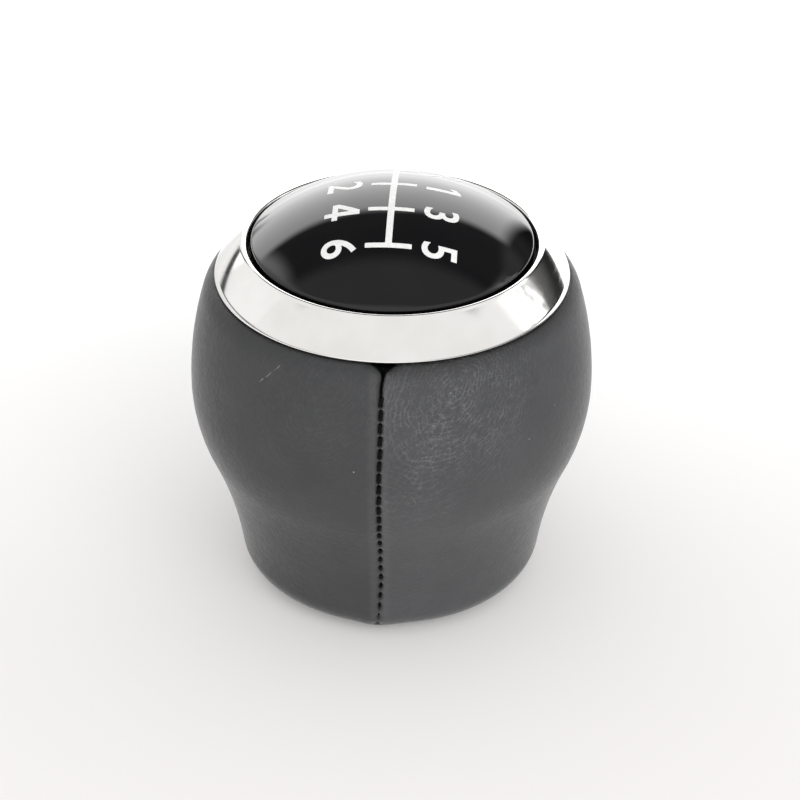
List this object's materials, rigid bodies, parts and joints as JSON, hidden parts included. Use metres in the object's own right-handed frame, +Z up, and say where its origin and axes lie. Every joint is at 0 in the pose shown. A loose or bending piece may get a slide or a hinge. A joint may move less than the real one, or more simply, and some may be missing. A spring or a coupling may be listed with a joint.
{
  "type": "gear shift knob",
  "caption": "Leather-wrapped bulb that screws onto a gear lever, with a bright trim ring and a glossy domed cap marked with a six-speed shift diagram.",
  "frame": {"origin": "centre of the foot, on the surface that the knob stands on", "axes": "+Z up along the lever's axis, +X the car's forward direction and the top of the shift diagram, +Y the car's left; the seams lie on -Y and +Y"},
  "size_m": [0.052, 0.052, 0.0545],
  "materials": {
    "leather": "fine-grained grey leather with a soft sheen",
    "thread": "black waxed sewing thread",
    "chrome": "bright chrome plating on moulded plastic",
    "gloss_black": "piano black with a clear coat",
    "marking": "white filled marking",
    "nylon": "black nylon, lightly textured",
    "core_nylon": "glass-filled nylon as moulded",
    "brass": "turned brass",
    "screw_steel": "zinc plated steel",
    "adhesive": "foam adhesive tape"
  },
  "bodies": {
    "root": {"base_collar": "nylon", "core_lower": "core_nylon", "threaded_insert": "brass", "core_upper": "core_nylon", "core_screws": "screw_steel", "leather_front": "leather", "leather_rear": "leather", "seam_thread_right": "thread", "seam_thread_left": "thread", "chrome_ring": "chrome", "cap_adhesive": "adhesive", "dome_cap": "gloss_black", "gate_pattern": "marking"}
  },
  "joints": []
}
